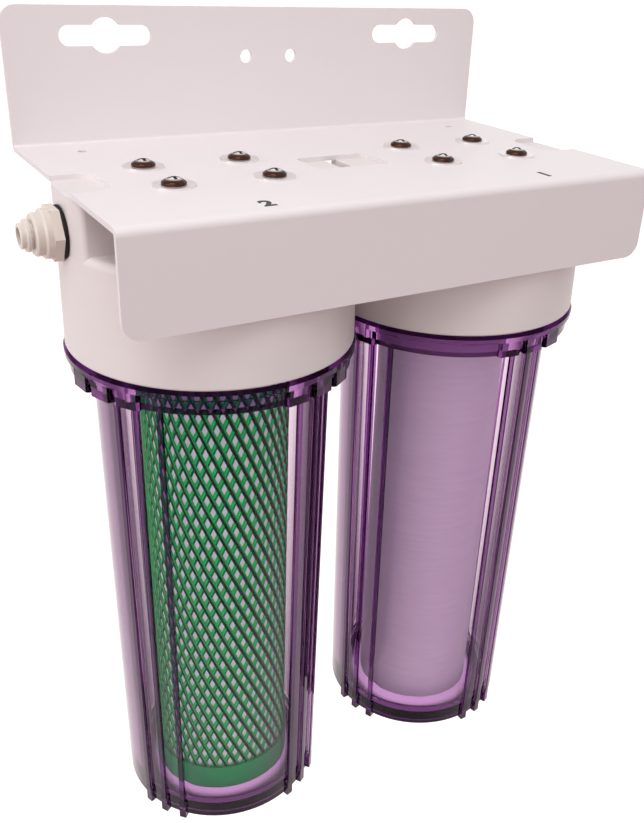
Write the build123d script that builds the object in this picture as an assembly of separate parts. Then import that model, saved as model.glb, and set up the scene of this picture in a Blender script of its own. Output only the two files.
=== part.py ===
from build123d import *
import os

# Wall-hung water filter: a bent steel bracket carries two moulded heads, and a clear ribbed sump with a
# cartridge in it screws up into each. Millimetres, +Z up, +Y into the wall. The origin lies on the wall,
# midway between the two keyhole slots.

# Bracket
sheet = 2.0
bracket_length = 240.0
bracket_depth = 136.0
plate_rise = 56.0
flange_drop = 39.0
bend_radius = 1.0
plate_corner_radius = 7.0
flange_corner_radius = 7.0
keyhole_rise = 44.0
keyhole_spacing = 154.0
keyhole_length = 40.0
keyhole_width = 8.4
keyhole_eye = 14.5
wall_hole_rise = 34.6
wall_hole_spacing = 23.2
wall_hole_diameter = 6.0
tie_hole_spacing = 192.0
tie_hole_setback = 19.5
tie_hole_diameter = 4.0
notch_depth = 16.4
notch_width = 28.6
notch_corner_radius = 8.0
window_length = 35.0
window_width = 21.5
window_corner_radius = 3.0

# Canisters
canister_spacing = 123.4
flange_clearance = 0.5
running_gap = 0.3
overrun = 1.0

# Heads
head_height = 65.4
head_rim_diameter = 121.0
head_shoulder_diameter = 119.6
shoulder_drop = 20.5
shoulder_radius = 3.0
rim_edge_radius = 1.2
port_block_width = 38.0
port_block_edge_radius = 2.5
screw_block_length = 55.0
screw_block_width = 45.0
screw_block_edge_radius = 1.5
port_face_reach = 59.0
port_drop = 15.5
port_spot_diameter = 21.5
port_bore_diameter = 17.2
port_bore_depth = 14.0
passage_diameter = 9.0
inlet_drop_reach = 32.0
inlet_drop_diameter = 8.0
ceiling_thickness = 7.5
chamber_diameter = 82.0
seal_ledge_drop = 41.7
thread_bore_diameter = 105.2
spigot_diameter = 24.4
spigot_bore_diameter = 13.0
spigot_length = 10.0
spigot_boss_diameter = 42.0
spigot_boss_length = 17.5

# Screws that hold the heads to the shelf
screw_spacing_x = 41.6
screw_spacing_y = 33.0
screw_diameter = 5.0
screw_length = 16.0
screw_clearance = 0.25
screw_bite_clearance = 0.1
screw_head_diameter = 9.6
screw_head_height = 2.7
screw_crown_share = 0.7
washer_diameter = 16.4
washer_thickness = 0.8

# Sumps
rim_gap = 1.4
neck_room = 1.6
collar_diameter = 119.0
collar_thickness = 8.9
collar_flange_diameter = 122.4
collar_flange_thickness = 2.2
collar_edge = 0.6
lug_reach = 61.2
lug_width = 11.4
lug_edge = 1.0
lug_pitch_angle = 12.5
lug_offset_angle = -9.0
body_top_diameter = 101.0
body_bottom_diameter = 96.0
wall = 4.4
floor_thickness = 3.0
bottom_edge_radius = 12.0
inner_corner_radius = 8.0
rib_count_per_group = 3
rib_group_count = 4
rib_pitch_angle = 12.0
rib_height = 1.6
rib_thickness = 2.2
foot_thickness = 3.4
foot_length = 2.0
foot_rise = 7.0
foot_inset = 5.0
seat_height = 1.0
seat_diameter = 42.0
locator_diameter = 24.4
locator_wall = 2.4
locator_height = 9.0
seal_groove_diameter = 97.2
seal_section = 2.6
seal_groove_clearance = 0.1
left_sump_turn = -59.0
right_sump_turn = -76.0

# Cartridges
cartridge_length = 254.0
gasket_thickness = 2.0
gasket_diameter = 38.0
cap_wall = 1.0
cap_skirt = 13.5
cap_floor = 4.0
cap_hole_diameter = 27.0
net_diameter = 66.4
net_thickness = 0.9
wrap_thickness = 4.0
core_diameter = 29.6
core_wall = 1.8
core_slot_width = 4.0
core_slot_length = 22.0
core_slot_pitch = 34.0
core_slots_around = 4
sediment_diameter = 63.5
sediment_edge = 1.5
layer_gap = 0.1

# Push-in tube fittings
port_seal_section = 1.6
port_seal_gap = 0.05
fitting_thread_diameter = 17.0
fitting_thread_length = 12.0
fitting_hex_width = 19.0
fitting_hex_length = 3.5
fitting_collar_diameter = 19.0
fitting_collar_length = 2.8
fitting_barrel_diameter = 16.4
fitting_barrel_length = 3.2
fitting_edge = 0.7
tube_diameter = 6.35
tube_clearance = 0.1
tube_stop_diameter = 4.4
tube_socket_length = 6.0
tube_seal_section = 1.8
tube_seal_room = 0.2
collet_diameter = 10.0
collet_length = 7.0
collet_flange_diameter = 12.4
collet_flange_thickness = 1.5
collet_lip_diameter = 9.8
collet_lip_length = 1.9
collet_edge = 0.4
collet_travel = 1.2
collet_gap = 0.15

# Nipple between the heads
nipple_bore = 9.0
nipple_hex_width = 19.0
nipple_hex_gap = 0.2

# Levels and places worked out from the sizes above
canister_setback = bracket_depth - sheet - flange_clearance - head_rim_diameter / 2
shelf_top_z = -keyhole_rise
head_top_z = shelf_top_z - sheet
port_z = head_top_z - port_drop
shoulder_z = head_top_z - shoulder_drop
ceiling_z = shoulder_z - ceiling_thickness
ledge_z = head_top_z - seal_ledge_drop
rim_z = head_top_z - head_height
cartridge_top_z = ceiling_z - spigot_boss_length
cartridge_bottom_z = cartridge_top_z - cartridge_length
spigot_tip_z = cartridge_top_z - spigot_length
neck_top_z = ledge_z - running_gap
neck_diameter = thread_bore_diameter - 2 * neck_room
collar_top_z = rim_z - rim_gap
collar_bottom_z = collar_top_z - collar_thickness
floor_z = cartridge_bottom_z - seat_height
sump_bottom_z = floor_z - floor_thickness
foot_z = sump_bottom_z - foot_length
cap_diameter = net_diameter + 2 * (layer_gap + cap_wall)
canister_x = canister_spacing / 2
canister_y = -canister_setback
left_axis = (-canister_x, canister_y)
right_axis = (canister_x, canister_y)
screw_hole_diameter = screw_diameter + 2 * screw_clearance
pilot_diameter = screw_diameter + 2 * screw_bite_clearance
port_face_x = canister_x + port_face_reach
port_gap = canister_spacing - 2 * port_face_reach


def near(a, b):
    """Whether two places are the same but for rounding."""
    return abs(a - b) < sheet / 100


def at(axis):
    """A canister's axis, on which its pieces are placed."""
    return Location((axis[0], axis[1], 0))


def upright(diameter, low, high):
    """A round bar along Z from one level to another, on the Z axis."""
    return Pos(0, 0, (low + high) / 2) * Cylinder(diameter / 2, high - low)


def tube_along_x(diameter, start, end, z=0):
    """A round bar along X from one place to another."""
    turned = Rot(0, 90, 0) * Cylinder(diameter / 2, abs(end - start))
    return Pos((start + end) / 2, 0, z) * turned


def revolved(points):
    """A solid of revolution about Z from (radius, z) points."""
    outline = Polyline(*points, close=True)
    return revolve(make_face(Plane.XZ * outline), Axis.Z)


def ring(mean_diameter, section, z):
    """A round seal ring about Z."""
    return Pos(0, 0, z) * Torus(mean_diameter / 2, section / 2)


def screw_places(axis):
    """The four screw positions round one canister's axis."""
    steps = [(-1, -1), (1, -1), (1, 1), (-1, 1)]
    return [(axis[0] + i * screw_spacing_x / 2, axis[1] + j * screw_spacing_y / 2) for i, j in steps]


def bracket_section():
    """The bent sheet's section: back plate, shelf and front flange."""
    front = -bracket_depth
    outline = Polyline(
        (0, shelf_top_z + plate_rise),
        (0, head_top_z),
        (front + sheet, head_top_z),
        (front + sheet, shelf_top_z - flange_drop),
        (front, shelf_top_z - flange_drop),
        (front, shelf_top_z),
        (-sheet, shelf_top_z),
        (-sheet, shelf_top_z + plate_rise),
        close=True,
    )
    face = make_face(outline)
    inner = [v for v in face.vertices() if near(v.Y, shelf_top_z) and near(v.X, -sheet)]
    inner += [v for v in face.vertices() if near(v.Y, head_top_z) and near(v.X, front + sheet)]
    face = fillet(inner, bend_radius)
    outer = [v for v in face.vertices() if near(v.Y, head_top_z) and near(v.X, 0)]
    outer += [v for v in face.vertices() if near(v.Y, shelf_top_z) and near(v.X, front)]
    return fillet(outer, bend_radius + sheet)


def corners_at(plate, z):
    """The bracket's edges across the sheet at one level: the corners of its plate or its flange."""
    return [e for e in plate.edges().filter_by(Axis.Y) if near(e.center().Z, z)]


def mounting_bracket():
    """One sheet, bent twice, with its slots, holes, end notches and window."""
    plate = extrude(Plane.YZ * bracket_section(), bracket_length / 2, both=True)
    plate = fillet(corners_at(plate, shelf_top_z + plate_rise), plate_corner_radius)
    plate = fillet(corners_at(plate, shelf_top_z - flange_drop), flange_corner_radius)
    through_wall = 2 * (sheet + overrun)
    for side in (-1, 1):
        keyhole = SlotOverall(keyhole_length, keyhole_width) + Circle(keyhole_eye / 2)
        keyhole = Plane.XZ * (Pos(side * keyhole_spacing / 2, 0) * keyhole)
        plate -= extrude(keyhole, through_wall, both=True)
        hole = Circle(wall_hole_diameter / 2)
        hole = Pos(side * wall_hole_spacing / 2, wall_hole_rise - keyhole_rise) * hole
        plate -= extrude(Plane.XZ * hole, through_wall, both=True)
        tie = Pos(side * tie_hole_spacing / 2, -tie_hole_setback, shelf_top_z)
        plate -= tie * Cylinder(tie_hole_diameter / 2, through_wall)
        notch = RectangleRounded(2 * notch_depth, notch_width, notch_corner_radius)
        notch = extrude(notch, through_wall, both=True)
        plate -= Pos(side * bracket_length / 2, canister_y, shelf_top_z) * notch
    window = RectangleRounded(window_length, window_width, window_corner_radius)
    plate -= Pos(0, canister_y, shelf_top_z) * extrude(window, through_wall, both=True)
    for axis in (left_axis, right_axis):
        for x, y in screw_places(axis):
            plate -= Pos(x, y, shelf_top_z) * Cylinder(screw_hole_diameter / 2, through_wall)
    return plate


def head_block():
    """The block on top of the head: a flat port face at each end and a wider middle for the screws."""
    depth = shoulder_drop + 2 * shoulder_radius
    place = Pos(0, 0, head_top_z - depth / 2)
    block = place * Box(2 * port_face_reach, port_block_width, depth)
    block &= upright(head_shoulder_diameter, head_top_z - depth, head_top_z)
    corners = [e for e in block.edges().filter_by(Axis.Z) if near(abs(e.center().Y), port_block_width / 2)]
    middle = place * Box(screw_block_length, screw_block_width, depth)
    middle = fillet(middle.edges().filter_by(Axis.Z), screw_block_edge_radius)
    return fillet(corners, port_block_edge_radius) + middle


def skirt():
    """The head's outside below the port block: a slightly tapered cup with a rounded shoulder and rim."""
    cup = revolved([
        (0, shoulder_z),
        (head_shoulder_diameter / 2, shoulder_z),
        (head_rim_diameter / 2, rim_z),
        (0, rim_z),
    ])
    cup = fillet(cup.edges().group_by(Axis.Z)[-1], shoulder_radius)
    return fillet(cup.edges().group_by(Axis.Z)[0], rim_edge_radius)


def filter_head():
    """A moulded head on the Z axis: skirt, port block, sealing ledge, spigot and water ways."""
    head = skirt() + head_block()
    head -= upright(thread_bore_diameter, rim_z - overrun, ledge_z)
    head -= upright(chamber_diameter, rim_z - overrun, ceiling_z)
    head += upright(spigot_boss_diameter, cartridge_top_z, ceiling_z)
    head += upright(spigot_diameter, spigot_tip_z, cartridge_top_z)
    bore_end = port_face_reach - port_bore_depth
    for side in (-1, 1):
        face, beyond = side * port_face_reach, side * (port_face_reach + overrun)
        head -= tube_along_x(port_spot_diameter, face, beyond, port_z)
        head -= tube_along_x(port_bore_diameter, side * bore_end, beyond, port_z)
    inlet_start = inlet_drop_reach - inlet_drop_diameter / 2
    head -= tube_along_x(passage_diameter, inlet_start, bore_end + overrun, port_z)
    head -= Pos(inlet_drop_reach, 0, 0) * upright(inlet_drop_diameter, ceiling_z - overrun, port_z)
    head -= tube_along_x(passage_diameter, -bore_end - overrun, 0, port_z)
    head -= upright(spigot_bore_diameter, spigot_tip_z - overrun, port_z)
    for x, y in screw_places((0, 0)):
        head -= Pos(x, y, 0) * upright(pilot_diameter, head_top_z - screw_length, head_top_z + overrun)
    return head


def head_screw():
    """A screw with a low domed head, standing on a washer on the shelf."""
    seat_z = shelf_top_z + washer_thickness
    crown = screw_head_height * screw_crown_share
    dome_radius = ((screw_head_diameter / 2) ** 2 + crown ** 2) / (2 * crown)
    dome = Pos(0, 0, seat_z + screw_head_height - dome_radius) * Sphere(dome_radius)
    head = upright(screw_head_diameter, seat_z, seat_z + screw_head_height) & dome
    return head + upright(screw_diameter, seat_z - screw_length, seat_z)


def head_washer():
    """A plain washer on the shelf."""
    return tube(washer_diameter, screw_hole_diameter, shelf_top_z, shelf_top_z + washer_thickness)


def rib(turn):
    """One stiffening rib down the sump's wall, with the foot that it ends in."""
    inner_top = body_top_diameter / 2 - wall / 2
    inner_low = body_bottom_diameter / 2 - wall / 2
    outer_top = body_top_diameter / 2 + rib_height
    outer_low = body_bottom_diameter / 2 + rib_height
    fin = Polyline(
        (inner_top, collar_bottom_z + collar_thickness / 2),
        (outer_top, collar_bottom_z + collar_thickness / 2),
        (outer_top, collar_bottom_z),
        (outer_low, sump_bottom_z),
        (inner_low, sump_bottom_z + bottom_edge_radius),
        close=True,
    )
    foot = Polyline(
        (outer_low - foot_inset, foot_z),
        (outer_low, foot_z),
        (outer_low, sump_bottom_z + foot_rise),
        (inner_low, sump_bottom_z + foot_rise),
        (outer_low - foot_inset, sump_bottom_z),
        close=True,
    )
    solid = extrude(make_face(Plane.XZ * fin), rib_thickness / 2, both=True)
    solid += extrude(make_face(Plane.XZ * foot), foot_thickness / 2, both=True)
    return Rot(0, 0, turn - 90) * solid


def wrench_lug(turn):
    """One lug on the collar for the sump wrench, under the collar's top flange."""
    height = collar_thickness - collar_flange_thickness
    depth = lug_reach - neck_diameter / 2
    lug = Box(depth, lug_width, height)
    outer = lug.edges().filter_by(Axis.Z).group_by(Axis.X)[-1]
    lug = chamfer(outer, lug_edge)
    place = Pos(neck_diameter / 2 + depth / 2, 0, collar_bottom_z + height / 2)
    return Rot(0, 0, turn - 90) * (place * lug)


def sump(turn):
    """A clear sump on the Z axis: neck with its seal groove, lugged collar, ribbed wall, feet and seat."""
    inner_top = body_top_diameter / 2 - wall
    inner_low = body_bottom_diameter / 2 - wall
    groove_half = seal_section / 2 + seal_groove_clearance
    groove_z = neck_top_z - seal_section - seal_groove_clearance + running_gap / 2
    shell = revolved([
        (0, sump_bottom_z),
        (body_bottom_diameter / 2, sump_bottom_z),
        (body_top_diameter / 2, collar_bottom_z),
        (collar_diameter / 2 - collar_edge, collar_bottom_z),
        (collar_diameter / 2, collar_bottom_z + collar_edge),
        (collar_diameter / 2, collar_top_z - collar_flange_thickness),
        (collar_flange_diameter / 2, collar_top_z - collar_flange_thickness),
        (collar_flange_diameter / 2, collar_top_z),
        (neck_diameter / 2, collar_top_z),
        (neck_diameter / 2, neck_top_z),
        (seal_groove_diameter / 2 + groove_half, neck_top_z),
        (seal_groove_diameter / 2 + groove_half, groove_z),
        (seal_groove_diameter / 2 - groove_half, groove_z),
        (seal_groove_diameter / 2 - groove_half, neck_top_z),
        (inner_top, neck_top_z),
        (inner_top, collar_bottom_z),
        (inner_low, floor_z),
        (seat_diameter / 2, floor_z),
        (seat_diameter / 2, cartridge_bottom_z),
        (locator_diameter / 2, cartridge_bottom_z),
        (locator_diameter / 2, cartridge_bottom_z + locator_height),
        (locator_diameter / 2 - locator_wall, cartridge_bottom_z + locator_height),
        (locator_diameter / 2 - locator_wall, floor_z),
        (0, floor_z),
    ])
    rounds = shell.edges().filter_by(GeomType.CIRCLE)
    bottom = [e for e in rounds if near(e.center().Z, sump_bottom_z)]
    corner = [e for e in rounds if near(e.center().Z, floor_z) and near(e.radius, inner_low)]
    shell = fillet(bottom, bottom_edge_radius)
    shell = fillet(corner, inner_corner_radius)
    middle = (rib_count_per_group - 1) / 2
    for group in range(rib_group_count):
        centre = turn + group * 360 / rib_group_count
        for i in range(rib_count_per_group):
            shell += rib(centre + (i - middle) * rib_pitch_angle)
            shell += wrench_lug(centre + lug_offset_angle + (i - middle) * lug_pitch_angle)
    return shell


def sump_seal():
    """The round seal in the groove of the sump's neck, just proud of it."""
    proud = running_gap / 2
    return ring(seal_groove_diameter, seal_section, neck_top_z + proud - seal_section / 2)


def end_cap(low, high, opening_up):
    """A moulded cartridge cap: a disc with a central hole and a skirt round the net's end."""
    cap = upright(cap_diameter, low, high)
    net_room = net_diameter + 2 * layer_gap
    if opening_up:
        cap -= upright(net_room, low + cap_floor, high + overrun)
    else:
        cap -= upright(net_room, low - overrun, high - cap_floor)
    return cap - upright(cap_hole_diameter, low - overrun, high + overrun)


def tube(outer, inner, low, high):
    """A plain tube on the Z axis."""
    return upright(outer, low, high) - upright(inner, low - overrun, high + overrun)


def perforated_core(low, high):
    """The cartridge's inner tube, with rows of slots for the filtered water."""
    core = tube(core_diameter, core_diameter - 2 * core_wall, low, high)
    rows = int((high - low) / core_slot_pitch)
    slot = Box(core_diameter + overrun, core_slot_width, core_slot_length)
    for row in range(rows):
        z = (low + high) / 2 + (row - (rows - 1) / 2) * core_slot_pitch
        for i in range(core_slots_around // 2):
            core -= Pos(0, 0, z) * Rot(0, 0, i * 360 / core_slots_around) * slot
    return core


def carbon_cartridge():
    """The carbon cartridge's pieces by name, on the Z axis, from the gaskets inward."""
    cap_top = cartridge_top_z - gasket_thickness
    cap_low = cartridge_bottom_z + gasket_thickness
    body_top = cap_top - cap_floor
    body_low = cap_low + cap_floor
    wrap_outer = net_diameter - 2 * net_thickness - 2 * layer_gap
    block_outer = wrap_outer - 2 * wrap_thickness - 2 * layer_gap
    block_inner = core_diameter + 2 * layer_gap
    return {
        "carbon_top_gasket": tube(gasket_diameter, cap_hole_diameter, cap_top, cartridge_top_z),
        "carbon_top_cap": end_cap(cap_top - cap_skirt, cap_top, False),
        "carbon_net": tube(net_diameter, net_diameter - 2 * net_thickness, body_low, body_top),
        "carbon_wrap": tube(wrap_outer, wrap_outer - 2 * wrap_thickness, body_low, body_top),
        "carbon_block": tube(block_outer, block_inner, body_low, body_top),
        "carbon_core": perforated_core(body_low, body_top),
        "carbon_bottom_cap": end_cap(cap_low, cap_low + cap_skirt, True),
        "carbon_bottom_gasket": tube(gasket_diameter, cap_hole_diameter, cartridge_bottom_z, cap_low),
    }


def sediment_cartridge():
    """The spun sediment cartridge's pieces by name, on the Z axis."""
    element = tube(sediment_diameter, core_diameter + 2 * layer_gap, cartridge_bottom_z, cartridge_top_z)
    rounds = element.edges().filter_by(GeomType.CIRCLE)
    outer = [e for e in rounds if near(e.radius, sediment_diameter / 2)]
    return {
        "sediment_element": chamfer(outer, sediment_edge),
        "sediment_core": perforated_core(cartridge_bottom_z, cartridge_top_z),
    }


def hexagon_along_x(width, start, end):
    """A hexagon bar along X, with flats above and below."""
    face = RegularPolygon(width / 2, 6, major_radius=False)
    bar = extrude(Plane.YZ * face, end - start)
    return Pos(start, 0, 0) * bar


def bar_with_edge(diameter, start, end, edge):
    """A round bar along X whose outer end is chamfered."""
    bar = tube_along_x(diameter, start, end)
    return chamfer(bar.edges().group_by(Axis.X)[-1], edge)


def fitting_pieces():
    """A push-in fitting's pieces along +X from the port face at zero, on the X axis."""
    face = port_seal_section + 2 * port_seal_gap
    hex_end = face + fitting_hex_length
    collar_end = hex_end + fitting_collar_length
    barrel_end = collar_end + fitting_barrel_length
    flange_start = barrel_end + collet_travel
    flange_end = flange_start + collet_flange_thickness
    lip_end = flange_end + collet_lip_length
    collet_start = flange_start - collet_length
    seal_end = collet_start - collet_travel
    seal_start = seal_end - tube_seal_section
    room_start = seal_start - tube_seal_room
    bore = tube_diameter + 2 * tube_clearance
    body = hexagon_along_x(fitting_hex_width, face, hex_end)
    body += bar_with_edge(fitting_collar_diameter, hex_end, collar_end, fitting_edge)
    body += bar_with_edge(fitting_barrel_diameter, collar_end, barrel_end, fitting_edge)
    body += tube_along_x(fitting_thread_diameter, -fitting_thread_length, face)
    body -= tube_along_x(collet_diameter + 2 * collet_gap, room_start, barrel_end + overrun)
    body -= tube_along_x(bore, room_start - tube_socket_length, room_start + overrun)
    body -= tube_along_x(tube_stop_diameter, -fitting_thread_length - overrun, room_start)
    collet = tube_along_x(collet_diameter, collet_start, flange_start)
    collet += bar_with_edge(collet_flange_diameter, flange_start, flange_end, collet_edge)
    collet += bar_with_edge(collet_lip_diameter, flange_end, lip_end, collet_edge)
    collet -= tube_along_x(bore, collet_start - overrun, lip_end + overrun)
    tube_seal_ring = Torus((collet_diameter - tube_seal_section) / 2, tube_seal_section / 2)
    tube_seal = Pos((seal_start + seal_end) / 2, 0, 0) * Rot(0, 90, 0) * tube_seal_ring
    port_seal_mean = fitting_thread_diameter + 2 * port_seal_gap + port_seal_section
    port_seal = Pos(face / 2, 0, 0) * Rot(0, 90, 0) * Torus(port_seal_mean / 2, port_seal_section / 2)
    return {"fitting": body, "collet": collet, "tube_seal": tube_seal, "port_seal": port_seal}


def joining_nipple():
    """The short nipple that joins the two heads, with a hexagon between the port faces."""
    reach = port_gap / 2 + fitting_thread_length
    hex_half = port_gap / 2 - nipple_hex_gap
    body = tube_along_x(fitting_thread_diameter, -reach, reach)
    body += hexagon_along_x(nipple_hex_width, -hex_half, hex_half)
    return body - tube_along_x(nipple_bore, -reach - overrun, reach + overrun)


parts = {"mounting_bracket": mounting_bracket()}

head = filter_head()
screw = head_screw()
washer = head_washer()
for name, axis in (("left", left_axis), ("right", right_axis)):
    parts[name + "_head"] = at(axis) * head
    parts[name + "_head_screws"] = Compound([Pos(x, y, 0) * screw for x, y in screw_places(axis)])
    parts[name + "_head_washers"] = Compound([Pos(x, y, 0) * washer for x, y in screw_places(axis)])
    parts[name + "_sump_seal"] = at(axis) * sump_seal()

parts["left_sump"] = at(left_axis) * sump(left_sump_turn)
parts["right_sump"] = at(right_axis) * sump(right_sump_turn)

for name, piece in carbon_cartridge().items():
    parts[name] = at(left_axis) * piece
for name, piece in sediment_cartridge().items():
    parts[name] = at(right_axis) * piece

parts["joining_nipple"] = Pos(0, canister_y, port_z) * joining_nipple()
for name, piece in fitting_pieces().items():
    parts["inlet_" + name] = Pos(port_face_x, canister_y, port_z) * piece
    parts["outlet_" + name] = Pos(-port_face_x, canister_y, port_z) * (Rot(0, 0, 180) * piece)

os.makedirs("parts", exist_ok=True)
for name, part in parts.items():
    export_step(part, "parts/" + name + ".step")
    print(name, round(part.volume), "mm3")
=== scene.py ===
# %% [markdown]
# # A wall-hung water filter with two clear sumps
# The solids of this filter come ready made from its construction model: a bent steel bracket, two
# moulded heads and two clear sumps, each round a cartridge. They could be modelled again in this
# file, but then two sets of sizes would have to be kept alike, so they are loaded and only dressed.
# This file gives them their finishes, cuts the screws' recesses, weaves the green net round the
# carbon cartridge, adds the threads and the stage numbers, and sets up a studio with the camera at
# the photograph's own viewpoint.

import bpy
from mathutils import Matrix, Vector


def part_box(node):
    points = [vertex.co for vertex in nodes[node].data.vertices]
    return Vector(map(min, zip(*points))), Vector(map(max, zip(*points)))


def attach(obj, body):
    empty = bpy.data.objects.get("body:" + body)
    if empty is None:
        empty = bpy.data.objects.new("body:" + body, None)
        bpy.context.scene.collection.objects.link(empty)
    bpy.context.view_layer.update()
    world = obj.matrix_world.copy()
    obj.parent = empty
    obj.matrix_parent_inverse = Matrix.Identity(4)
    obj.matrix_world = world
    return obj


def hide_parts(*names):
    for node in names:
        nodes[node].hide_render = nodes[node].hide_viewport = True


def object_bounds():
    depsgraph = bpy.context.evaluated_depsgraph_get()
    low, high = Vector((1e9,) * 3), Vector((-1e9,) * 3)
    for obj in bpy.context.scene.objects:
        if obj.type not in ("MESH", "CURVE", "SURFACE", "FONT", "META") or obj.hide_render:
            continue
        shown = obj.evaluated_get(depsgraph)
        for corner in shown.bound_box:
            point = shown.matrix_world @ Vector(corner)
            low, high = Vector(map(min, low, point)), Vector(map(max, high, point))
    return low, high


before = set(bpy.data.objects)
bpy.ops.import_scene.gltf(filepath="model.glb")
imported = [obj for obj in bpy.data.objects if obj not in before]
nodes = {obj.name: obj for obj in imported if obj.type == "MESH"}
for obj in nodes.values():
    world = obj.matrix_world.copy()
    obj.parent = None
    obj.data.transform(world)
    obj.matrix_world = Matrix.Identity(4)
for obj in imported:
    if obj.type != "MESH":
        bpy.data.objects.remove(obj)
model_low, model_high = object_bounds()

# %% [markdown]
# ## Modules and units
# The model is in metres, and the sizes of small things are easier to read in millimetres. Blender's
# unit setting only changes what its panels show, so one value turns millimetres into metres
# wherever a size is written. Sizes that the model already has are read from its boxes instead of
# being written again.

# %% Modules and units
import math

import bmesh
import bpy
from mathutils import Matrix, Vector

mm = 0.001


def middle(node):
    """The centre of a solid's box."""
    low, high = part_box(node)
    return (low + high) / 2


axis_of = {"left": middle("left_head"), "right": middle("right_head")}
print("canisters", round((axis_of["right"].x - axis_of["left"].x) / mm, 1), "mm apart")

# %% [markdown]
# ## Writing shaders as sums
# A material is a small network of nodes. It could be wired by hand, node by node, but that hides
# what it works out. So this class wraps one socket and lets Python's own operators add the Math
# nodes: `1 - mask` or `a * b + c` read as the sums they are.

# %% A socket that does sums
class Value:
    """An output of a node, mostly a number that varies over a surface."""

    def __init__(self, net, socket):
        self.net = net
        self.socket = socket

    def sum(self, operation, *inputs):
        return self.net.node("ShaderNodeMath", {"operation": operation}, dict(enumerate(inputs)))

    def __add__(self, other):
        return self.sum("ADD", self, other)

    __radd__ = __add__

    def __sub__(self, other):
        return self.sum("SUBTRACT", self, other)

    def __rsub__(self, other):
        return self.sum("SUBTRACT", other, self)

    def __mul__(self, other):
        return self.sum("MULTIPLY", self, other)

    __rmul__ = __mul__

    def __pow__(self, other):
        return self.sum("POWER", self, other)

    def size(self):
        """The value without its sign."""
        return self.sum("ABSOLUTE", self)

    def smaller(self, other):
        return self.sum("MINIMUM", self, other)

    def larger(self, other):
        return self.sum("MAXIMUM", self, other)

    def ramp(self, low, high):
        """0 below one value, 1 above another, and a soft climb between them."""
        return self.net.node("ShaderNodeMapRange", {"interpolation_type": "SMOOTHSTEP"},
                             {"Value": self, "From Min": low, "From Max": high})


# %% [markdown]
# ## Nodes by one method
# Every other node comes from one method. It takes the node's type, then its settings, then the
# values or links of its sockets. The world needs nodes as much as a finish does, so the method
# lives in a class of its own, and a finish builds on it.

# %% A network of nodes
class Network:
    """A node tree, and short ways to add to it."""

    def __init__(self, tree):
        self.tree = tree

    def fill(self, socket, value):
        """Sets a socket, or links a value to it."""
        if isinstance(value, Value):
            self.tree.links.new(value.socket, socket)
        elif isinstance(value, tuple) and len(value) == 3 and socket.type == "RGBA":
            socket.default_value = (*value, 1.0)
        else:
            socket.default_value = value

    def node(self, kind, settings=None, inputs=None, output=0):
        """A node of a type, as one of its outputs."""
        made = self.tree.nodes.new(kind)
        for name, value in (settings or {}).items():
            setattr(made, name, value)
        for name, value in (inputs or {}).items():
            self.fill(made.inputs[name], value)
        return Value(self, made.outputs[output])

    def seen(self):
        """1 for a look from the camera, in a reflection or through plastic, 0 for other light."""
        straight = self.node("ShaderNodeLightPath", output="Is Camera Ray")
        rays = straight.socket.node.outputs
        reflected = Value(self, rays["Is Glossy Ray"])
        through = Value(self, rays["Is Transmission Ray"])
        return straight.larger(reflected).larger(through)


# %% [markdown]
# ## A finish
# A finish is one material: a Principled shader, and what feeds it. Its patterns could be laid out
# on an unwrapped surface, but unwrapping turned parts leaves seams. Here they are laid out in the
# object's own space, so that they have no seam and sit still on the piece from every side.

# %% A finish with its shader
class Finish(Network):
    """One material: a Principled shader and what feeds it."""

    def __init__(self, name, color, roughness, **constants):
        self.material = bpy.data.materials.new(name)
        self.material.use_nodes = True
        super().__init__(self.material.node_tree)
        self.shader = self.tree.nodes["Principled BSDF"]
        self.output = self.tree.nodes["Material Output"]
        self.feed("Base Color", color)
        self.feed("Roughness", roughness)
        for socket, value in constants.items():
            self.shader.inputs[socket.replace("_", " ")].default_value = value
        self.material.diffuse_color = (*color, 1.0)

    def feed(self, socket, value):
        self.fill(self.shader.inputs[socket], value)

    def place(self, scale=(1.0, 1.0, 1.0)):
        """Where a point lies on the object, stretched by a scale."""
        at = self.node("ShaderNodeTexCoord", output="Object")
        return self.node("ShaderNodeMapping", {}, {"Vector": at, "Scale": scale})

    def along(self, axis, vector=None):
        """The X, Y or Z of a point in metres, or of another vector."""
        vector = vector or self.place()
        return self.node("ShaderNodeSeparateXYZ", {}, {"Vector": vector}, output=axis)

    def facing_up(self):
        """1 where the surface faces up, 0 where it is upright and -1 where it faces down."""
        return self.along("Z", self.node("ShaderNodeNewGeometry", output="Normal"))

    def from_axis(self, axis):
        """A point's distance in metres from an upright axis."""
        across = self.along("X") - axis.x
        deep = self.along("Y") - axis.y
        return (across * across + deep * deep) ** 0.5

    def noise(self, scale, detail=3.0, stretch=(1.0, 1.0, 1.0)):
        """Cloudy noise from 0 to 1. The scale is in clouds a metre."""
        return self.node("ShaderNodeTexNoise", {}, {
            "Vector": self.place(stretch), "Scale": scale, "Detail": detail})

    def between(self, mask, low, high):
        """One colour where the mask is 0, fading to the other where it is 1."""
        return self.node("ShaderNodeMix", {"data_type": "RGBA"},
                         {0: mask, 6: low, 7: high}, output=2)

    def bump(self, height, distance, strength):
        """Tilts the surface as a relief of this depth in metres would."""
        self.feed("Normal", self.node("ShaderNodeBump", {}, {
            "Height": height, "Distance": distance, "Strength": strength}))


def dress(finish, *names):
    """Gives solids of the model a finish."""
    for name in names:
        mesh = nodes[name].data
        mesh.materials.clear()
        mesh.materials.append(finish.material)
    print(finish.material.name, "on", ", ".join(names))


# %% [markdown]
# ## The painted bracket
# The bracket is folded from sheet steel and powder coated. Powder melts into a skin with a fine,
# shallow orange peel. Real dents of that size would need millions of faces, so a very low bump
# stands for them, on a warm off-white whose roughness drifts a little from place to place.

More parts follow.
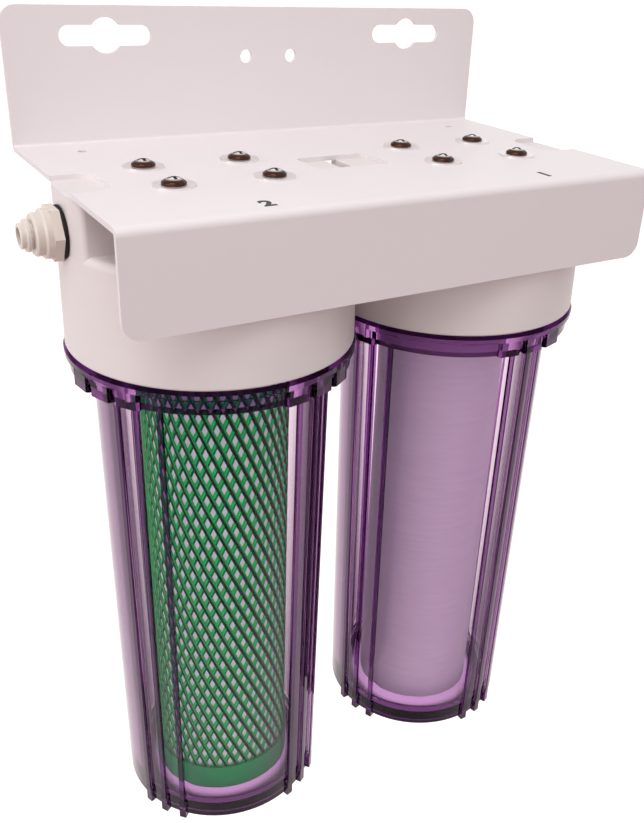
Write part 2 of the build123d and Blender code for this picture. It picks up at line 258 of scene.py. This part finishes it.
# %% Powder coat
powder = Finish("powder_coat", (0.80, 0.74, 0.75), 0.42, Specular_IOR_Level=0.4)
drift = powder.noise(14.0, detail=2.0)
orange_peel = powder.noise(900.0, detail=1.5)
powder.feed("Base Color", powder.between(drift, (0.785, 0.72, 0.732), (0.82, 0.76, 0.768)))
powder.feed("Roughness", drift * 0.12 + 0.38)
powder.bump(orange_peel, distance=0.05 * mm, strength=0.35)
dress(powder, "mounting_bracket")

# %% [markdown]
# ## The moulded heads
# The heads are injection moulded in filled polypropylene, which has a satin skin and faint flow
# marks. One plain colour would look like paint. A noise that is squeezed in height gives flat
# clouds, like marks that run round the skirt, and a much finer one gives the grain of the mould.

# %% Moulded plastic
moulded = Finish("moulded_head", (0.76, 0.70, 0.70), 0.4, Specular_IOR_Level=0.4)
flow = moulded.noise(30.0, stretch=(1.0, 1.0, 3.0))
mould_grain = moulded.noise(1600.0, detail=2.0)
moulded.feed("Base Color", moulded.between(flow, (0.74, 0.68, 0.675), (0.785, 0.725, 0.715)))
moulded.feed("Roughness", flow * 0.1 + 0.36)
moulded.bump(mould_grain, distance=0.03 * mm, strength=0.3)
dress(moulded, "left_head", "right_head")

# %% [markdown]
# ## Small parts, mottled by one noise
# Most small parts need little: two close shades, and a gloss and a relief that wander with them.
# Each could be wired on its own, but the wiring would be the same every time. So one helper makes
# such a finish from named sizes, and only the sizes differ.

# %% A mottled finish
def mottled(name, color, roughness, clouds, dark, bright, detail=3.0, gloss=None, relief=None,
            **constants):
    """Clouds of two shades. Gloss is (spread, least roughness), and relief is (depth, strength)."""
    finish = Finish(name, color, roughness, **constants)
    cloud = finish.noise(clouds, detail)
    finish.feed("Base Color", finish.between(cloud, dark, bright))
    if gloss:
        spread, least = gloss
        finish.feed("Roughness", cloud * spread + least)
    if relief:
        finish.bump(cloud, *relief)
    return finish


# %% [markdown]
# ## The push-in fittings
# The fittings, their collets and the nipple between the heads are turned from a creamier, glossier
# plastic than the heads. One flat colour would make such small round parts look blank, and strong
# clouds would make them look dirty, so their mottle is tight and weak.

# %% Fittings
acetal = mottled("fitting_plastic", (0.80, 0.75, 0.68), 0.3, clouds=120.0,
                 dark=(0.68, 0.60, 0.54), bright=(0.74, 0.66, 0.60),
                 gloss=(0.1, 0.24), relief=(0.02 * mm, 0.3), Specular_IOR_Level=0.5)
dress(acetal, "inlet_fitting", "outlet_fitting", "inlet_collet", "outlet_collet", "joining_nipple")

# %% [markdown]
# ## Seals and gaskets
# The round seals are black rubber with a dull, worn skin. The flat gaskets on the carbon cartridge
# are a pale rubber with a bloom on it. Black rubber that reflects as much as plastic looks grey in
# a white studio, so its reflection is turned down.

# %% Rubber
rubber = mottled("black_rubber", (0.012, 0.012, 0.012), 0.6, clouds=400.0,
                 dark=(0.008, 0.008, 0.009), bright=(0.022, 0.021, 0.021),
                 gloss=(0.2, 0.5), relief=(0.03 * mm, 0.3), Specular_IOR_Level=0.12)
dress(rubber, "inlet_port_seal", "outlet_port_seal", "inlet_tube_seal", "outlet_tube_seal",
      "left_sump_seal", "right_sump_seal")

pale_rubber = mottled("pale_rubber", (0.60, 0.60, 0.56), 0.6, clouds=300.0,
                      dark=(0.55, 0.55, 0.51), bright=(0.66, 0.66, 0.62),
                      gloss=(0.2, 0.5), relief=(0.04 * mm, 0.3))
dress(pale_rubber, "carbon_top_gasket", "carbon_bottom_gasket")

# %% [markdown]
# ## Plated screws
# The screws are plated steel. A polished dome shows what is round it: the pale studio on its crown,
# and dark things beside it on its flank. Dark boards could stand beside the filter, but the other
# parts would show them too. So these reflections are painted into the finish: a painted dark
# reflection on the flank, and a painted bright reflection where the surface faces up. The recess
# for the driver, which is cut further down, is painted nearly black, as painted shade in the
# hollow.
# Where it lies is found by folded arithmetic: the eight screws lie symmetrically about both
# canisters, so one cross at the origin of a mirrored grid stands for all.

# %% Plated steel
head_radius = 4.8 * mm
recess_width, recess_reach, recess_edge = 0.55 * mm, 2.5 * mm, 0.2 * mm
painted_crown_from, painted_crown_full = 0.85, 0.96
screws_low, screws_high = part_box("right_head_screws")
screw_half_x = (screws_high.x - screws_low.x) / 2 - head_radius
screw_half_y = (screws_high.y - screws_low.y) / 2 - head_radius
print("screws", round(2 * screw_half_x / mm, 1), "by", round(2 * screw_half_y / mm, 1), "mm apart")

plated = Finish("plated_screws", (0.34, 0.30, 0.28), 0.16, Metallic=1.0)
haze = plated.noise(600.0)
beside = ((plated.along("X").size() - axis_of["right"].x).size() - screw_half_x).size()
before = ((plated.along("Y") - axis_of["right"].y).size() - screw_half_y).size()
recess = (1 - beside.smaller(before).ramp(recess_width, recess_width + recess_edge)) * (
    1 - beside.larger(before).ramp(recess_reach, recess_reach + recess_edge))
# Painted reflections: a dark flank, and a bright crown where the surface faces up.
painted_flank_reflection = plated.between(haze, (0.030, 0.013, 0.010), (0.09, 0.04, 0.03))
painted_dome_reflection = plated.between(plated.facing_up().ramp(painted_crown_from, painted_crown_full), painted_flank_reflection, (0.86, 0.80, 0.78))
# The recess is painted nearly black over the dome: painted shade in the hollow.
plated.feed("Base Color", plated.between(recess, painted_dome_reflection, (0.012, 0.008, 0.008)))
plated.feed("Roughness", haze * 0.14 + 0.08)
plated.bump(haze, distance=0.01 * mm, strength=0.3)

# %% [markdown]
# ## Adding an object
# New data shows up only once an object holds it and a collection holds the object. Blender's
# operators do that too, but they need a window and a selection. These two lines need neither.

# %% Put something in the scene
def put_in_scene(name, data):
    """An object that holds some data, linked to the scene."""
    made = bpy.data.objects.new(name, data)
    bpy.context.scene.collection.objects.link(made)
    return made


# %% [markdown]
# ## The driver's recess
# A screw needs a recess to be driven by, and the model's screws have plain domes. Paint and bump
# alone would leave the dome's outline whole, so the recess is cut. The cutter is a cross for each
# screw, and it narrows downwards as the driver's tip does.

# %% A cutter for the recesses
recess_depth, recess_rise, recess_taper = 1.4 * mm, 0.5 * mm, 0.6
a, b = recess_width, recess_reach
cross = [(b, -a), (b, a), (a, a), (a, b), (-a, b), (-a, a),
         (-b, a), (-b, -a), (-a, -a), (-a, -b), (a, -b), (a, -a)]


def cross_cutter(name, centres, top):
    """An object of tapered crosses, one over each screw."""
    cutter = bmesh.new()
    for x, y in centres:
        tip = [cutter.verts.new((x + u * recess_taper, y + v * recess_taper, top - recess_depth))
               for u, v in cross]
        mouth = [cutter.verts.new((x + u, y + v, top + recess_rise)) for u, v in cross]
        cutter.faces.new(list(reversed(tip)))
        cutter.faces.new(mouth)
        for i in range(len(cross)):
            j = (i + 1) % len(cross)
            cutter.faces.new((tip[i], tip[j], mouth[j], mouth[i]))
    bmesh.ops.recalc_face_normals(cutter, faces=cutter.faces)
    data = bpy.data.meshes.new(name)
    cutter.to_mesh(data)
    cutter.free()
    return put_in_scene(name, data)


print("recesses", round(2 * recess_reach / mm, 1), "mm across and",
      round(recess_depth / mm, 1), "mm deep")

# %% [markdown]
# ## Cutting the screws
# The cut could be made face by face, but a dome meets a tapered cross along awkward curves. A
# Boolean modifier finds them. It works on a copy of each set of screws, because a solid of the
# model is never changed, and its result is kept as a mesh that then stands for the plain screws.

# %% Cut the recesses
sharp_angle = math.radians(35)
for side in ("left", "right"):
    node = side + "_head_screws"
    centres = [(axis_of[side].x + i * screw_half_x, axis_of[side].y + j * screw_half_y)
               for i in (-1, 1) for j in (-1, 1)]
    cutter = cross_cutter(side + "_recesses", centres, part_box(node)[1].z)
    blank = put_in_scene(side + "_blank", nodes[node].data.copy())
    cut = blank.modifiers.new("recess", "BOOLEAN")
    cut.object, cut.operation, cut.solver = cutter, "DIFFERENCE", "EXACT"
    worked = blank.evaluated_get(bpy.context.evaluated_depsgraph_get())
    carved = bpy.data.meshes.new_from_object(worked)
    for spare in (blank, cutter):
        bpy.data.objects.remove(spare)
    carved.materials.clear()
    carved.materials.append(plated.material)
    for face in carved.polygons:
        face.use_smooth = True
        face.material_index = 0
    carved.set_sharp_from_angle(angle=sharp_angle)
    driven = put_in_scene(side + "_driven_screws", carved)
    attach(driven, "frame")
    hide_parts(node)
    print(driven.name, "has", len(carved.polygons), "faces, was", len(nodes[node].data.polygons))

# %% [markdown]
# ## Washers
# The washers are stamped and zinc plated. The press only brushes them, so they are paler and
# rougher than the screws, and a bump would add nothing at their size.

# %% Washers
zinc = mottled("zinc_washers", (0.82, 0.78, 0.77), 0.3, clouds=700.0, detail=4.0,
               dark=(0.78, 0.74, 0.73), bright=(0.90, 0.86, 0.85), gloss=(0.2, 0.25), Metallic=1.0)
dress(zinc, "left_head_washers", "right_head_washers")

# %% [markdown]
# ## The clear sumps
# The sumps are clear plastic with a violet tint, lilac where the wall is seen square on and deep
# violet where light travels a long way inside. An absorbing volume alone could do that, but at a
# strength that darkens the edges enough it stains the whole wall. So the volume is weak, and the
# surface tints what passes it as well, by masks that say where the plastic is thick or edge on: the
# slant of view, the ribs and feet that stand proud of the drafted wall, the collar, and the bottom
# with its ring. Where the wall is seen edge on, that dark tint is partly the long path and partly a
# painted reflection: it stands for the dark surroundings that the wall reflects there, which the
# white studio doesn't have. The reflection is tinted too, because a white studio would otherwise
# lay a grey veil on the plastic.

# %% Where the sump is thick
wall_top_radius, wall_low_radius = 50.5 * mm, 48.0 * mm
seal_to_wall = 30 * mm
wall_top_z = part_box("left_sump_seal")[0].z - seal_to_wall
wall_low_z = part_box("left_sump")[0].z
wall_taper = (wall_top_radius - wall_low_radius) / (wall_top_z - wall_low_z)
rib_start, rib_full = 0.3 * mm, 1.0 * mm
ring_inside, ring_outside = 33.0 * mm, 38.0 * mm
bottom_full, bottom_end = 5.0 * mm, 9.0 * mm
collar_height, collar_fade = 11.5 * mm, 2 * mm
head_rim_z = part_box("left_head")[0].z
collar_low_z = head_rim_z - collar_height
slant_start, slant_full = 0.27, 0.62
depth_tint, depth_density = (0.50, 0.10, 0.50), 20.0
print("wall tapers", round(wall_taper * 100, 2), "mm in 100")

# %% [markdown]
# ## One plastic for each sump
# The masks need the distance from the sump's own axis, so each sump gets its own copy of the
# plastic. A copy could share the masks by taking the nearer axis, but two short materials are
# easier to read.

# %% Tinted clear plastic
def clear_plastic(side):
    """The sump's plastic, with its tint laid out round the sump's axis."""
    clear = Finish(side + "_violet_plastic", (0.95, 0.90, 0.95), 0.03, IOR=1.49,
                   Transmission_Weight=1.0, Specular_Tint=(0.12, 0.05, 0.14, 1.0))
    height = clear.along("Z") - wall_low_z
    radius = clear.from_axis(axis_of[side])
    proud = (radius - (height * wall_taper + wall_low_radius)).ramp(rib_start, rib_full)
    bottom = 1 - height.ramp(bottom_full, bottom_end)
    ring = radius.ramp(ring_inside, ring_outside) * bottom
    facing = clear.node("ShaderNodeLayerWeight", {}, {"Blend": 0.5}, output="Facing")
    slant = facing.ramp(slant_start, slant_full)
    collar = clear.along("Z").ramp(collar_low_z, collar_low_z + collar_fade)
    swirl = clear.noise(40.0, detail=2.0)

    raised = clear.between(collar, (0.13, 0.022, 0.18), (0.30, 0.10, 0.36))
    # Edge on, the tint is partly the long path and partly a painted reflection of dark
    # surroundings.
    raised = clear.between(slant, raised, (0.016, 0.001, 0.024))
    skin = clear.between(swirl, (0.95, 0.90, 0.95), (0.97, 0.93, 0.97))
    # On the plain wall too, the edge-on tint is partly a painted reflection of dark surroundings.
    skin = clear.between(slant, skin, (0.045, 0.014, 0.052))
    skin = clear.between(bottom, skin, (0.50, 0.30, 0.56))
    skin = clear.between(ring, skin, (0.016, 0.0015, 0.022))
    clear.feed("Base Color", clear.between(proud, skin, raised))
    clear.feed("Roughness", swirl * 0.03 + 0.01)
    inside = clear.node("ShaderNodeVolumeAbsorption", {}, {
        "Color": depth_tint, "Density": depth_density})
    clear.fill(clear.output.inputs["Volume"], inside)
    return clear


sump_plastic = {side: clear_plastic(side) for side in ("left", "right")}
for side, plastic in sump_plastic.items():
    dress(plastic, side + "_sump")

# %% [markdown]
# ## The sediment cartridge
# The sediment cartridge is wound up from blown polypropylene fibre. Single fibres are far too thin
# to model. What the eye sees is a soft white skin with faint bands from the winding, so a noise
# that is squeezed in height gives the bands and a fine one the fuzz, in colour and in bump. The
# lilac in the colour is a painted tint: it stands for the light that reaches the white fibre
# through the violet wall.

# %% Spun fibre
fibre = Finish("spun_fibre", (0.74, 0.68, 0.73), 0.9, Specular_IOR_Level=0.15)
bands = fibre.noise(60.0, detail=4.0, stretch=(1.0, 1.0, 9.0))
fuzz = fibre.noise(1200.0, stretch=(1.0, 1.0, 2.0))
# The lilac shades are a painted tint of the light through the violet wall, over white fibre.
fibre.feed("Base Color", fibre.between(bands, (0.70, 0.56, 0.71), (0.81, 0.67, 0.82)))
fibre.bump(bands * 0.7 + fuzz * 0.3, distance=0.5 * mm, strength=0.6)
dress(fibre, "sediment_element")

# %% [markdown]
# ## Inside the carbon cartridge
# Under the net lies a thin white foam, which takes a greenish cast from the strands around it. That
# cast could be left to bounced light, but a few bounces aren't enough through the wall, so it is in
# the colour. The carbon block is black and granular, and the slotted cores of both cartridges are
# plain white tubes.

# %% Foam, carbon and cores
foam = mottled("foam_wrap", (0.80, 0.96, 0.90), 0.9, clouds=900.0,
               dark=(0.76, 0.92, 0.87), bright=(0.84, 0.99, 0.94),
               relief=(0.3 * mm, 0.5), Specular_IOR_Level=0.15)
dress(foam, "carbon_wrap")

carbon = mottled("carbon_grains", (0.02, 0.02, 0.02), 0.7, clouds=1500.0,
                 dark=(0.012, 0.012, 0.012), bright=(0.04, 0.04, 0.04),
                 gloss=(0.3, 0.55), relief=(0.4 * mm, 0.8))
dress(carbon, "carbon_block")

core_plastic = mottled("white_core", (0.78, 0.78, 0.78), 0.4, clouds=200.0,
                       dark=(0.74, 0.74, 0.74), bright=(0.82, 0.82, 0.82),
                       gloss=(0.2, 0.3), relief=(0.03 * mm, 0.3))
dress(core_plastic, "carbon_core", "sediment_core")

# %% [markdown]
# ## The green plastic
# The carbon cartridge ends in two moulded caps of the same green as its net. A strand of the net is
# bright on top and nearly black below, where it shades itself. Soft studio light hides that at this
# size, so the helper can paint that shade into a finish on its underside, and `reach` says how far
# round the painted shade goes.

# %% Green plastic
painted_shade_fade = (0.05, 0.03)


def green_plastic(name, dark, bright, painted_underside_shade=None, reach=0.0):
    """Satin green plastic in two shades, with painted shade on its underside where one is given."""
    green = Finish(name, bright, 0.38, Specular_IOR_Level=0.08)
    cloud = green.noise(150.0, detail=2.0)
    skin = green.between(cloud, dark, bright)
    if painted_underside_shade:
        # Painted shade: the finish darkens where the surface faces down.
        lit = green.facing_up().ramp(reach - painted_shade_fade[0], reach + painted_shade_fade[1])
        skin = green.between(lit, painted_underside_shade, skin)
    green.feed("Base Color", skin)
    green.feed("Roughness", cloud * 0.12 + 0.32)
    green.bump(cloud, distance=0.05 * mm, strength=0.4)
    return green


cap_green = green_plastic("green_caps", (0.000, 0.36, 0.09), (0.000, 0.48, 0.13))
dress(cap_green, "carbon_top_cap", "carbon_bottom_cap")

# %% [markdown]
# ## The net
# The net is extruded: two sheets of parallel strands are laid over each other at opposite slants
# and fuse where they cross, which leaves diamonds. A sleeve with a net painted on it would be
# quick, but it would look flat and have a smooth edge. So each strand is a thin flat bar that
# climbs round the cartridge as a helix, and the two families lie at slightly different depths, so
# that they just bite into each other.

# %% Net sizes
strand_count = 42
strand_thickness = 1.35 * mm
strand_width = 2.20 * mm
strand_sides = 8
strand_steps = 60
slant_share = 0.44
strands_deep = {"outer": 0.5, "inner": 0.75}
net_low, net_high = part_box("carbon_net")
net_radius = (net_high.x - net_low.x) / 2
diamond_width = 2 * math.pi * net_radius / strand_count
print("diamonds", round(diamond_width / mm, 1), "by",
      round(diamond_width / slant_share / mm, 1), "mm")

# %% [markdown]
# ## One helper for strands and threads
# A net strand and a screw thread are the same thing in mesh code: a small closed section that is
# carried along a helix. A curve with a bevel could do it, but it twists its section on a helix. The
# helper takes the section as (outward, upward) points and keeps it square to the helix. A thread's
# section may shrink to almost nothing at both ends, as a moulded thread runs out.

# %% A section carried along a helix
least_section = 0.02


def along_helix(mesh, axis, radius, low, high, start, turn, section, steps, run_out=0.0):
    """Adds a closed bar that climbs from low to high as it turns about the axis."""
    rings = []
    for i in range(steps + 1):
        share = i / steps
        size = min(1.0, share / run_out, (1 - share) / run_out) if run_out else 1.0
        size = max(size, least_section)
        angle = start + turn * share
        out = Vector((math.cos(angle), math.sin(angle), 0))
        ahead = Vector((-math.sin(angle) * turn * radius, math.cos(angle) * turn * radius,
                        high - low))
        across = ahead.normalized().cross(out)
        centre = Vector((axis.x, axis.y, low + (high - low) * share)) + out * radius
        rings.append([mesh.verts.new(centre + out * (u * size) + across * (v * size))
                      for u, v in section])
    for below, above in zip(rings, rings[1:]):
        for j in range(len(section)):
            k = (j + 1) % len(section)
            mesh.faces.new((below[j], below[k], above[k], above[j]))
    mesh.faces.new(list(reversed(rings[0])))
    mesh.faces.new(rings[-1])


# %% [markdown]
# ## From a worked mesh to a piece
# A mesh that is worked on with bmesh becomes a piece in a few steps that are always the same: its
# faces are turned outwards and shaded smooth, it gets a finish, and it is told which body it rides
# on.

# %% Make a piece
def piece_from(mesh, name, finish, body):
    """Turns a worked mesh into a piece that rides on a body."""
    bmesh.ops.recalc_face_normals(mesh, faces=mesh.faces)
    data = bpy.data.meshes.new(name)
    mesh.to_mesh(data)
    mesh.free()
    for face in data.polygons:
        face.use_smooth = True
    data.materials.append(finish.material)
    made = put_in_scene(name, data)
    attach(made, body)
    print(name, "has", len(data.polygons), "faces and rides on", body)
    return made


# %% [markdown]
# ## Weaving the net
# Both families have the same section and the same slant, one each way. The outer strands lie over
# the inner ones and shade them, so the two families are painted in slightly different greens, as
# painted light and shade. Together they stand for the plain sleeve of the model.

# %% Weave the net
strand_section = [(strand_thickness / 2 * math.cos(2 * math.pi * j / strand_sides),
                   strand_width / 2 * math.sin(2 * math.pi * j / strand_sides))
                  for j in range(strand_sides)]
net_turn = (net_high.z - net_low.z) * slant_share / net_radius
# Each family's greens carry painted light and shade, not a different plastic.
net_greens_painted_shade = {
    "outer": green_plastic("net_outer_strands", (0.000, 0.44, 0.08), (0.002, 0.64, 0.12),
                           painted_underside_shade=(0.000, 0.022, 0.003), reach=0.12),
    "inner": green_plastic("net_inner_strands", (0.000, 0.58, 0.09), (0.003, 0.80, 0.17),
                           painted_underside_shade=(0.000, 0.12, 0.03), reach=-0.06),
}
families = []
for family, way in (("outer", -1), ("inner", 1)):
    strand_radius = net_radius - strand_thickness * strands_deep[family]
    net_mesh = bmesh.new()
    for i in range(strand_count):
        along_helix(net_mesh, axis_of["left"], strand_radius, net_low.z, net_high.z,
                    2 * math.pi * i / strand_count, way * net_turn, strand_section, strand_steps)
    families.append(piece_from(net_mesh, "net_" + family + "_strands", net_greens_painted_shade[family],
                               "left_cartridge"))
for strands in families:
    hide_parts("carbon_net")

# %% [markdown]
# ## The threads
# A sump screws up into its head by a coarse thread: a few broad turns, 6 mm apart, moulded on the
# outside of its neck, and matching turns inside the head. They could be cut into the solids, but
# the model leaves plain room for them, so that the neck turns freely. It turns the sump 6 mm down
# for each turn, so ridges drawn with that pitch never cut through each other.

# %% Thread sizes
pitch = 6.0 * mm
neck_radius = 51.0 * mm
bore_radius = 52.6 * mm
thread_depth = 1.25 * mm
thread_root, thread_crest = 3.0 * mm, 1.4 * mm
thread_lead_in = 2.0 * mm
thread_turns = 2.75
thread_steps = 200
thread_run_out = 0.06
sink = 0.3 * mm


def thread_section(depth):
    """The section of a ridge that stands out by depth, or inwards where depth is negative."""
    foot = -math.copysign(sink, depth)
    return [(foot, -thread_root / 2), (depth, -thread_crest / 2),
            (depth, thread_crest / 2), (foot, thread_root / 2)]


print("ridges cross", round((thread_depth * 2 - (bore_radius - neck_radius)) / mm, 2), "mm")

# %% [markdown]
# ## Cutting the threads
# The sump's ridge is of the sump's plastic and rides on the sump, the head's is of the head's
# plastic and stays. The head's ridge sits half a pitch above the sump's, so that the two mesh
# without touching.

# %% Cut the threads
for side in ("left", "right"):
    ridges = (("sump", side + "_sump", neck_radius, 0.0, thread_depth, sump_plastic[side]),
              ("head", "frame", bore_radius, 0.5, -thread_depth, moulded))
    for owner, body, radius, lift, depth, finish in ridges:
        low = head_rim_z + thread_lead_in + pitch * lift
        ridge = bmesh.new()
        along_helix(ridge, axis_of[side], radius, low, low + pitch * thread_turns, 0.0,
                    2 * math.pi * thread_turns, thread_section(depth), thread_steps, thread_run_out)
        turns = piece_from(ridge, side + "_" + owner + "_thread", finish, body)

# %% [markdown]
# ## Stage numbers
# The filter's two stages are numbered on the shelf, in the order that the water takes: 1 over the
# sediment cartridge and 2 over the carbon cartridge. A number could be painted by a mask, but
# strokes are hard to write as sums. So each is a text object that is turned into a mesh hardly
# thicker than ink.

# %% Printing ink
ink = mottled("printing_ink", (0.02, 0.018, 0.02), 0.6, clouds=2500.0, detail=4.0,
              dark=(0.012, 0.010, 0.012), bright=(0.05, 0.045, 0.05), gloss=(0.2, 0.5))
number_height = 10.0 * mm
stroke_gain = 0.45 * mm
ink_thickness = 0.06 * mm
number_row_y = -125.0 * mm
number_places = {"1": 68.0 * mm, "2": -61.7 * mm}
shelf_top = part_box("left_head_washers")[0].z
print("shelf top at", round(shelf_top / mm, 1), "mm")

# %% [markdown]
# ## Printing the numbers
# The text object's own thickness and stroke width do the shaping. Its mesh is then moved to its
# place and kept, because a mesh is exported more surely than a text is.

# %% Print the numbers
for number, x in number_places.items():
    text = bpy.data.curves.new("stage_text_" + number, "FONT")
    text.body = number
    text.size = number_height
    text.extrude = ink_thickness
    text.offset = stroke_gain
    text.align_x, text.align_y = "CENTER", "CENTER"
    carrier = bpy.data.objects.new("stage_text_" + number, text)
    printed = bpy.data.meshes.new_from_object(carrier)
    bpy.data.objects.remove(carrier)
    printed.transform(Matrix.Translation((x, number_row_y, shelf_top)))
    printed.materials.clear()
    printed.materials.append(ink.material)
    stage_number = put_in_scene("stage_number_" + number, printed)
    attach(stage_number, "frame")
    print("stage number", number, "at x =", round(x / mm, 1), "mm")

# %% [markdown]
# ## The world
# The photograph has a plain white ground. A white world bright enough to look white would also wash
# out the pale parts. The Light Path node tells the two apart: the world is white to the camera, in
# reflections and through the clear plastic, and what it sheds on the filter is weaker and a little
# warm.

# %% World
shed_light, shed_color = 0.68, (1.0, 0.975, 0.98)
world = bpy.data.worlds.new("studio")
bpy.context.scene.world = world
world.use_nodes = True
sky = Network(world.node_tree)
ambient = sky.node("ShaderNodeBackground", {}, {"Color": shed_color, "Strength": shed_light})
white = sky.node("ShaderNodeBackground", {}, {"Color": (1.0, 1.0, 1.0), "Strength": 1.0})
both = sky.node("ShaderNodeMixShader", {}, {0: sky.seen(), 1: ambient, 2: white})
sky.fill(sky.tree.nodes["World Output"].inputs["Surface"], both)
print("the world sheds", shed_light, "and looks white")

# %% [markdown]
# ## The floor
# The floor is one large pale sheet well below the filter. Its colour is a warm grey, so that the
# light it throws back up is as modest and warm as in the photograph. A glow that only looks at it
# can see lifts it to white, and the filter's shadow stays in it.

# %% Floor
floor_drop = 0.30
floor_half = 30.0
floor_glow = 0.82
floor_mesh = bmesh.new()
bmesh.ops.create_grid(floor_mesh, x_segments=1, y_segments=1, size=floor_half)
floor_data = bpy.data.meshes.new("floor")
floor_mesh.to_mesh(floor_data)
floor_mesh.free()
floor = put_in_scene("floor", floor_data)
floor.location = (0, 0, model_low.z - floor_drop)

paper = Finish("white_floor", (0.56, 0.44, 0.43), 0.8, Specular_IOR_Level=0.0)
lit_paper = Value(paper, paper.shader.outputs[0])
glow = paper.node("ShaderNodeEmission", {}, {"Color": (1.0, 1.0, 1.0), "Strength": floor_glow})
glowing = paper.node("ShaderNodeAddShader", {}, {0: lit_paper, 1: glow})
shown = paper.node("ShaderNodeMixShader", {}, {0: paper.seen(), 1: lit_paper, 2: glowing})
paper.fill(paper.output.inputs["Surface"], shown)
floor_data.materials.append(paper.material)
print("floor at", round(floor.location.z, 3), "m")

# %% [markdown]
# ## Lamps
# Spot or sun lamps would give hard edges, and the photograph has soft ones, so all four lamps are
# areas. The key hangs above, a little to the left and in front, which makes the shelf the brightest
# face. One at the left lights the heads' left sides, a weak one fills in from the front right, and
# one behind keeps the back from going dull when it is looked at. Each is aimed at the middle of the
# filter.

# %% Lamps
target = (model_low + model_high) / 2


def lamp(name, place, size, power):
    """A square area lamp aimed at the filter."""
    light = bpy.data.lights.new(name, "AREA")
    light.size = size
    light.energy = power
    made = put_in_scene(name, light)
    made.location = place
    made.rotation_euler = (target - Vector(place)).to_track_quat("-Z", "Y").to_euler()


lamp("key", place=(-0.40, -0.42, 0.80), size=0.55, power=4.4)
lamp("side", place=(-1.30, -0.25, 0.15), size=0.8, power=4.0)
lamp("fill", place=(0.9, -1.1, 0.5), size=0.9, power=0.8)
lamp("back", place=(0.5, 1.3, -0.05), size=0.8, power=4.0)

# %% [markdown]
# ## The camera
# The camera stands in front, left of the middle and above, and it leans a little: the photograph is
# turned by not quite three degrees. It could be aimed by eye, but every size is read from the
# picture, so its place, direction and focal length were worked out from the corners and outlines of
# the bracket, the heads and the sumps. The small shift comes from the photograph's cropping.

# %% Camera
image_width, image_height = 644, 823
camera_place = Vector((-204.06, -411.37, 39.14)) * mm
camera_azimuth = math.radians(32.555)
camera_fall = math.radians(25.632)
camera_roll = math.radians(2.811)
focal_pixels = 916.74
sight_x, sight_y = 355.48, 385.91
nearest = 10 * mm

forward = Vector((math.sin(camera_azimuth) * math.cos(camera_fall),
                  math.cos(camera_azimuth) * math.cos(camera_fall), -math.sin(camera_fall)))
level = forward.cross(Vector((0, 0, 1))).normalized()
upward = level.cross(forward)
right = level * math.cos(camera_roll) + upward * math.sin(camera_roll)
up = upward * math.cos(camera_roll) - level * math.sin(camera_roll)

lens = bpy.data.cameras.new("camera")
lens.sensor_width = 36.0
lens.lens = focal_pixels * lens.sensor_width / image_height
lens.shift_x = -(sight_x - image_width / 2) / image_height
lens.shift_y = (sight_y - image_height / 2) / image_height
lens.clip_start = nearest
camera = put_in_scene("camera", lens)
facing = Matrix((right, up, -forward)).transposed().to_4x4()
camera.matrix_world = Matrix.Translation(camera_place) @ facing
bpy.context.scene.camera = camera
bpy.context.scene.view_settings.view_transform = "Standard"
print("lens", round(lens.lens, 2), "mm")
